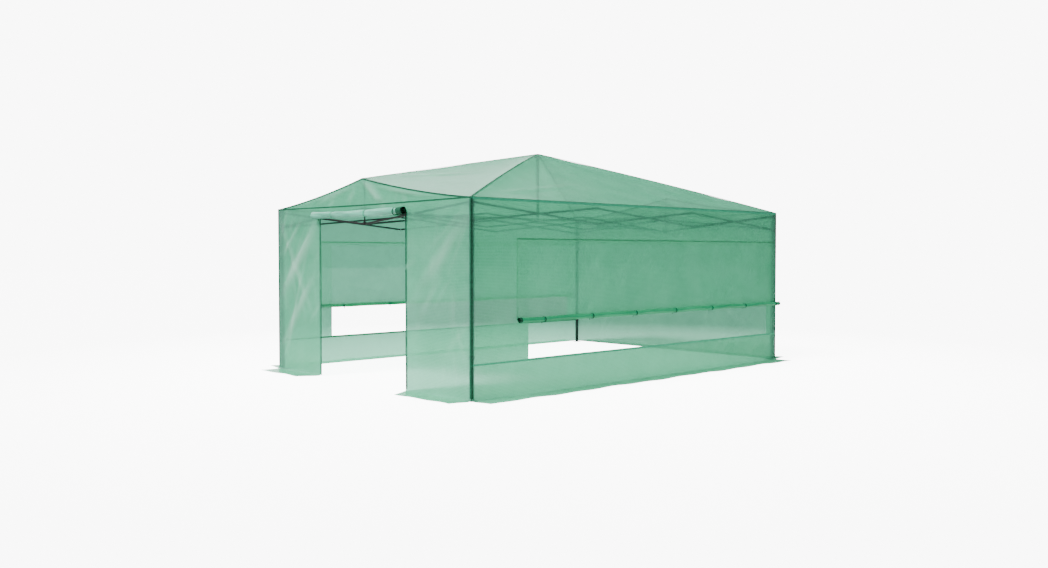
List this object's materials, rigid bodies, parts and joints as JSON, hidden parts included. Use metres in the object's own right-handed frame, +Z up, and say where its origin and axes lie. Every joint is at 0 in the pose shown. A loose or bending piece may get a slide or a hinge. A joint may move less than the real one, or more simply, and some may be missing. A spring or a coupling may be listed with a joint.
{
  "type": "pop-up greenhouse",
  "caption": "walk-in pop-up greenhouse with a folding scissor frame of steel bars, a central peak pole and a green film cover with a rolled-up door and roll-up side windows",
  "frame": {"origin": "on the ground under the middle of the plan, the centre of the bottom of the bounding box", "axes": "+X to the right seen from the door, +Y from the door wall to the back, along the longest extent, +Z up"},
  "size_m": [3.5772, 5.0292, 2.3106],
  "materials": {
    "powder_coated_steel": "black semi-matt powder coat, fine orange-peel texture",
    "black_nylon": "moulded black nylon, fine matt grain",
    "woven_film": "translucent green woven polyethylene film with a reinforcing grid",
    "rolled_film": "the same green film wound in many layers, with dark green binding at its ends"
  },
  "bodies": {
    "front_hub_upper": {"front_hub_upper": "black_nylon"},
    "leg_front_left": {"leg_front_left": "powder_coated_steel", "corner_bracket_front_left": "black_nylon"},
    "leg_front_right": {"leg_front_right": "powder_coated_steel", "corner_bracket_front_right": "black_nylon"},
    "leg_rear_left": {"leg_rear_left": "powder_coated_steel", "corner_bracket_rear_left": "black_nylon"},
    "leg_rear_right": {"leg_rear_right": "powder_coated_steel", "corner_bracket_rear_right": "black_nylon"},
    "slider_front_left": {"slider_front_left": "black_nylon"},
    "slider_front_right": {"slider_front_right": "black_nylon"},
    "slider_rear_left": {"slider_rear_left": "black_nylon"},
    "slider_rear_right": {"slider_rear_right": "black_nylon"},
    "front_hub_lower": {"front_hub_lower": "black_nylon", "front_gable_strut": "powder_coated_steel"},
    "rear_hub_upper": {"rear_hub_upper": "black_nylon"},
    "rear_hub_lower": {"rear_hub_lower": "black_nylon", "rear_gable_strut": "powder_coated_steel"},
    "front_bar_falling_1": {"front_bar_falling_1": "powder_coated_steel"},
    "front_bar_rising_1": {"front_bar_rising_1": "powder_coated_steel"},
    "front_bar_falling_2": {"front_bar_falling_2": "powder_coated_steel"},
    "front_bar_rising_2": {"front_bar_rising_2": "powder_coated_steel"},
    "rear_bar_falling_1": {"rear_bar_falling_1": "powder_coated_steel"},
    "rear_bar_rising_1": {"rear_bar_rising_1": "powder_coated_steel"},
    "rear_bar_falling_2": {"rear_bar_falling_2": "powder_coated_steel"},
    "rear_bar_rising_2": {"rear_bar_rising_2": "powder_coated_steel"},
    "left_bar_falling_1": {"left_bar_falling_1": "powder_coated_steel"},
    "left_bar_rising_1": {"left_bar_rising_1": "powder_coated_steel"},
    "left_bar_falling_2": {"left_bar_falling_2": "powder_coated_steel"},
    "left_bar_rising_2": {"left_bar_rising_2": "powder_coated_steel"},
    "left_bar_falling_3": {"left_bar_falling_3": "powder_coated_steel"},
    "left_bar_rising_3": {"left_bar_rising_3": "powder_coated_steel"},
    "right_bar_falling_1": {"right_bar_falling_1": "powder_coated_steel"},
    "right_bar_rising_1": {"right_bar_rising_1": "powder_coated_steel"},
    "right_bar_falling_2": {"right_bar_falling_2": "powder_coated_steel"},
    "right_bar_rising_2": {"right_bar_rising_2": "powder_coated_steel"},
    "right_bar_falling_3": {"right_bar_falling_3": "powder_coated_steel"},
    "right_bar_rising_3": {"right_bar_rising_3": "powder_coated_steel"},
    "middle_bar_falling_1": {"middle_bar_falling_1": "powder_coated_steel"},
    "middle_bar_rising_1": {"middle_bar_rising_1": "powder_coated_steel"},
    "middle_bar_falling_2": {"middle_bar_falling_2": "powder_coated_steel"},
    "middle_bar_rising_2": {"middle_bar_rising_2": "powder_coated_steel"},
    "middle_bar_falling_3": {"middle_bar_falling_3": "powder_coated_steel"},
    "middle_bar_rising_3": {"middle_bar_rising_3": "powder_coated_steel"},
    "peak_pole": {"peak_pole": "powder_coated_steel", "peak_cap": "black_nylon"},
    "cover": {"roof_front": "woven_film", "roof_rear": "woven_film", "roof_left": "woven_film", "roof_right": "woven_film", "wall_front": "woven_film", "wall_rear": "woven_film", "wall_left": "woven_film", "wall_right": "woven_film", "door_roll": "rolled_film", "window_flap_left": "woven_film", "window_flap_right": "woven_film"},
    "window_roll_right": {"window_roll_right": "rolled_film"},
    "window_roll_left": {"window_roll_left": "rolled_film"}
  },
  "joints": [
    {"name": "frame_fold", "type": "hinge", "parent": "front_hub_upper", "child": "front_bar_falling_2", "pos_m": [0.026, -2.266, 1.64], "axis": [0, 1, 0], "range_deg": [0, 78.5]},
    {"name": "front_bar_rising_2_pivot", "type": "hinge", "parent": "front_bar_falling_2", "child": "front_bar_rising_2", "pos_m": [0.766, -2.266, 1.56875], "axis": [0, 1, 0], "range_deg": [-159, 0]},
    {"name": "leg_front_right_pivot", "type": "hinge", "parent": "front_bar_rising_2", "child": "leg_front_right", "pos_m": [1.506, -2.266, 1.64], "axis": [0, 1, 0], "range_deg": [0, 80.5]},
    {"name": "slider_front_right_pivot", "type": "hinge", "parent": "front_bar_falling_2", "child": "slider_front_right", "pos_m": [1.506, -2.266, 1.49749], "axis": [0, 1, 0], "range_deg": [-80.5, 0]},
    {"name": "front_bar_rising_1_pivot", "type": "hinge", "parent": "front_hub_upper", "child": "front_bar_rising_1", "pos_m": [-0.026, -2.266, 1.64], "axis": [0, 1, 0], "range_deg": [-80.5, 0]},
    {"name": "front_bar_falling_1_pivot", "type": "hinge", "parent": "front_bar_rising_1", "child": "front_bar_falling_1", "pos_m": [-0.766, -2.266, 1.56875], "axis": [0, 1, 0], "range_deg": [0, 159]},
    {"name": "leg_front_left_pivot", "type": "hinge", "parent": "front_bar_falling_1", "child": "leg_front_left", "pos_m": [-1.506, -2.266, 1.64], "axis": [0, 1, 0], "range_deg": [-80.5, 0]},
    {"name": "slider_front_left_pivot", "type": "hinge", "parent": "front_bar_rising_1", "child": "slider_front_left", "pos_m": [-1.506, -2.266, 1.49749], "axis": [0, 1, 0], "range_deg": [0, 80.5]},
    {"name": "front_hub_lower_pivot", "type": "hinge", "parent": "front_bar_falling_1", "child": "front_hub_lower", "pos_m": [-0.026, -2.266, 1.49749], "axis": [0, 1, 0], "range_deg": [-80.5, 0]},
    {"name": "left_bar_falling_1_pivot", "type": "hinge", "parent": "leg_front_left", "child": "left_bar_falling_1", "pos_m": [-1.54, -2.22, 1.64], "axis": [-1, 0, 0], "range_deg": [0, 80.5]},
    {"name": "left_bar_rising_2_pivot", "type": "hinge", "parent": "left_bar_falling_1", "child": "left_bar_rising_2", "pos_m": [-1.54, -0.74, 1.49749], "axis": [-1, 0, 0], "range_deg": [-159, 0]},
    {"name": "left_bar_falling_3_pivot", "type": "hinge", "parent": "left_bar_rising_2", "child": "left_bar_falling_3", "pos_m": [-1.54, 0.74, 1.64], "axis": [-1, 0, 0], "range_deg": [0, 159]},
    {"name": "left_bar_rising_3_pivot", "type": "hinge", "parent": "left_bar_falling_3", "child": "left_bar_rising_3", "pos_m": [-1.54, 1.48, 1.56875], "axis": [-1, 0, 0], "range_deg": [-159, 0]},
    {"name": "left_bar_rising_1_pivot", "type": "hinge", "parent": "left_bar_falling_1", "child": "left_bar_rising_1", "pos_m": [-1.54, -1.48, 1.56875], "axis": [-1, 0, 0], "range_deg": [-159, 0]},
    {"name": "left_bar_falling_2_pivot", "type": "hinge", "parent": "left_bar_rising_2", "child": "left_bar_falling_2", "pos_m": [-1.54, 0, 1.56875], "axis": [-1, 0, 0], "range_deg": [0, 159]},
    {"name": "right_bar_falling_1_pivot", "type": "hinge", "parent": "leg_front_right", "child": "right_bar_falling_1", "pos_m": [1.54, -2.22, 1.64], "axis": [-1, 0, 0], "range_deg": [0, 80.5]},
    {"name": "right_bar_rising_2_pivot", "type": "hinge", "parent": "right_bar_falling_1", "child": "right_bar_rising_2", "pos_m": [1.54, -0.74, 1.49749], "axis": [-1, 0, 0], "range_deg": [-159, 0]},
    {"name": "right_bar_falling_3_pivot", "type": "hinge", "parent": "right_bar_rising_2", "child": "right_bar_falling_3", "pos_m": [1.54, 0.74, 1.64], "axis": [-1, 0, 0], "range_deg": [0, 159]},
    {"name": "right_bar_rising_3_pivot", "type": "hinge", "parent": "right_bar_falling_3", "child": "right_bar_rising_3", "pos_m": [1.54, 1.48, 1.56875], "axis": [-1, 0, 0], "range_deg": [-159, 0]},
    {"name": "right_bar_rising_1_pivot", "type": "hinge", "parent": "right_bar_falling_1", "child": "right_bar_rising_1", "pos_m": [1.54, -1.48, 1.56875], "axis": [-1, 0, 0], "range_deg": [-159, 0]},
    {"name": "right_bar_falling_2_pivot", "type": "hinge", "parent": "right_bar_rising_2", "child": "right_bar_falling_2", "pos_m": [1.54, 0, 1.56875], "axis": [-1, 0, 0], "range_deg": [0, 159]},
    {"name": "middle_bar_falling_1_pivot", "type": "hinge", "parent": "front_hub_upper", "child": "middle_bar_falling_1", "pos_m": [0, -2.22, 1.64], "axis": [-1, 0, 0], "range_deg": [0, 80.5]},
    {"name": "middle_bar_rising_2_pivot", "type": "hinge", "parent": "middle_bar_falling_1", "child": "middle_bar_rising_2", "pos_m": [0, -0.74, 1.49749], "axis": [-1, 0, 0], "range_deg": [-159, 0]},
    {"name": "middle_bar_falling_3_pivot", "type": "hinge", "parent": "middle_bar_rising_2", "child": "middle_bar_falling_3", "pos_m": [0, 0.74, 1.64], "axis": [-1, 0, 0], "range_deg": [0, 159]},
    {"name": "middle_bar_rising_3_pivot", "type": "hinge", "parent": "middle_bar_falling_3", "child": "middle_bar_rising_3", "pos_m": [0, 1.48, 1.56875], "axis": [-1, 0, 0], "range_deg": [-159, 0]},
    {"name": "rear_hub_upper_pivot", "type": "hinge", "parent": "middle_bar_rising_3", "child": "rear_hub_upper", "pos_m": [0, 2.22, 1.64], "axis": [-1, 0, 0], "range_deg": [0, 80.5]},
    {"name": "middle_bar_rising_1_pivot", "type": "hinge", "parent": "middle_bar_falling_1", "child": "middle_bar_rising_1", "pos_m": [0, -1.48, 1.56875], "axis": [-1, 0, 0], "range_deg": [-159, 0]},
    {"name": "middle_bar_falling_2_pivot", "type": "hinge", "parent": "middle_bar_rising_2", "child": "middle_bar_falling_2", "pos_m": [0, 0, 1.56875], "axis": [-1, 0, 0], "range_deg": [0, 159]},
    {"name": "rear_bar_falling_2_pivot", "type": "hinge", "parent": "rear_hub_upper", "child": "rear_bar_falling_2", "pos_m": [0.026, 2.266, 1.64], "axis": [0, 1, 0], "range_deg": [0, 80.5]},
    {"name": "rear_bar_rising_2_pivot", "type": "hinge", "parent": "rear_bar_falling_2", "child": "rear_bar_rising_2", "pos_m": [0.766, 2.266, 1.56875], "axis": [0, 1, 0], "range_deg": [-159, 0]},
    {"name": "leg_rear_right_pivot", "type": "hinge", "parent": "rear_bar_rising_2", "child": "leg_rear_right", "pos_m": [1.506, 2.266, 1.64], "axis": [0, 1, 0], "range_deg": [0, 80.5]},
    {"name": "slider_rear_right_pivot", "type": "hinge", "parent": "rear_bar_falling_2", "child": "slider_rear_right", "pos_m": [1.506, 2.266, 1.49749], "axis": [0, 1, 0], "range_deg": [-80.5, 0]},
    {"name": "rear_bar_rising_1_pivot", "type": "hinge", "parent": "rear_hub_upper", "child": "rear_bar_rising_1", "pos_m": [-0.026, 2.266, 1.64], "axis": [0, 1, 0], "range_deg": [-80.5, 0]},
    {"name": "rear_bar_falling_1_pivot", "type": "hinge", "parent": "rear_bar_rising_1", "child": "rear_bar_falling_1", "pos_m": [-0.766, 2.266, 1.56875], "axis": [0, 1, 0], "range_deg": [0, 159]},
    {"name": "leg_rear_left_pivot", "type": "hinge", "parent": "rear_bar_falling_1", "child": "leg_rear_left", "pos_m": [-1.506, 2.266, 1.64], "axis": [0, 1, 0], "range_deg": [-80.5, 0]},
    {"name": "slider_rear_left_pivot", "type": "hinge", "parent": "rear_bar_rising_1", "child": "slider_rear_left", "pos_m": [-1.506, 2.266, 1.49749], "axis": [0, 1, 0], "range_deg": [0, 80.5]},
    {"name": "rear_hub_lower_pivot", "type": "hinge", "parent": "rear_bar_falling_1", "child": "rear_hub_lower", "pos_m": [-0.026, 2.266, 1.49749], "axis": [0, 1, 0], "range_deg": [-80.5, 0]},
    {"name": "peak_pole_pivot", "type": "hinge", "parent": "middle_bar_rising_2", "child": "peak_pole", "pos_m": [0, 0, 1.56875], "axis": [-1, 0, 0], "range_deg": [0, 80.5]},
    {"name": "cover_lift", "type": "slide", "parent": "front_hub_upper", "child": "cover", "axis": [0, 0, 1], "range_m": [0, 2.35]},
    {"name": "window_roll_up_right", "type": "slide", "parent": "cover", "child": "window_roll_right", "axis": [0, 0, 1], "range_m": [0, 0.64], "deforming": ["window_flap_right"]},
    {"name": "window_roll_up_left", "type": "slide", "parent": "cover", "child": "window_roll_left", "axis": [0, 0, 1], "range_m": [0, 0.64], "deforming": ["window_flap_left"]}
  ],
  "couplings": [
    {"joint": "front_bar_rising_2_pivot", "follows": "frame_fold", "ratio": -2},
    {"joint": "leg_front_right_pivot", "follows": "frame_fold", "ratio": 1},
    {"joint": "slider_front_right_pivot", "follows": "frame_fold", "ratio": -1},
    {"joint": "front_bar_rising_1_pivot", "follows": "frame_fold", "ratio": -1},
    {"joint": "front_bar_falling_1_pivot", "follows": "frame_fold", "ratio": 2},
    {"joint": "leg_front_left_pivot", "follows": "frame_fold", "ratio": -1},
    {"joint": "slider_front_left_pivot", "follows": "frame_fold", "ratio": 1},
    {"joint": "front_hub_lower_pivot", "follows": "frame_fold", "ratio": -1},
    {"joint": "left_bar_falling_1_pivot", "follows": "frame_fold", "ratio": 1},
    {"joint": "left_bar_rising_2_pivot", "follows": "frame_fold", "ratio": -2},
    {"joint": "left_bar_falling_3_pivot", "follows": "frame_fold", "ratio": 2},
    {"joint": "left_bar_rising_3_pivot", "follows": "frame_fold", "ratio": -2},
    {"joint": "left_bar_rising_1_pivot", "follows": "frame_fold", "ratio": -2},
    {"joint": "left_bar_falling_2_pivot", "follows": "frame_fold", "ratio": 2},
    {"joint": "right_bar_falling_1_pivot", "follows": "frame_fold", "ratio": 1},
    {"joint": "right_bar_rising_2_pivot", "follows": "frame_fold", "ratio": -2},
    {"joint": "right_bar_falling_3_pivot", "follows": "frame_fold", "ratio": 2},
    {"joint": "right_bar_rising_3_pivot", "follows": "frame_fold", "ratio": -2},
    {"joint": "right_bar_rising_1_pivot", "follows": "frame_fold", "ratio": -2},
    {"joint": "right_bar_falling_2_pivot", "follows": "frame_fold", "ratio": 2},
    {"joint": "middle_bar_falling_1_pivot", "follows": "frame_fold", "ratio": 1},
    {"joint": "middle_bar_rising_2_pivot", "follows": "frame_fold", "ratio": -2},
    {"joint": "middle_bar_falling_3_pivot", "follows": "frame_fold", "ratio": 2},
    {"joint": "middle_bar_rising_3_pivot", "follows": "frame_fold", "ratio": -2},
    {"joint": "rear_hub_upper_pivot", "follows": "frame_fold", "ratio": 1},
    {"joint": "middle_bar_rising_1_pivot", "follows": "frame_fold", "ratio": -2},
    {"joint": "middle_bar_falling_2_pivot", "follows": "frame_fold", "ratio": 2},
    {"joint": "rear_bar_falling_2_pivot", "follows": "frame_fold", "ratio": 1},
    {"joint": "rear_bar_rising_2_pivot", "follows": "frame_fold", "ratio": -2},
    {"joint": "leg_rear_right_pivot", "follows": "frame_fold", "ratio": 1},
    {"joint": "slider_rear_right_pivot", "follows": "frame_fold", "ratio": -1},
    {"joint": "rear_bar_rising_1_pivot", "follows": "frame_fold", "ratio": -1},
    {"joint": "rear_bar_falling_1_pivot", "follows": "frame_fold", "ratio": 2},
    {"joint": "leg_rear_left_pivot", "follows": "frame_fold", "ratio": -1},
    {"joint": "slider_rear_left_pivot", "follows": "frame_fold", "ratio": 1},
    {"joint": "rear_hub_lower_pivot", "follows": "frame_fold", "ratio": -1},
    {"joint": "peak_pole_pivot", "follows": "frame_fold", "ratio": 1}
  ]
}
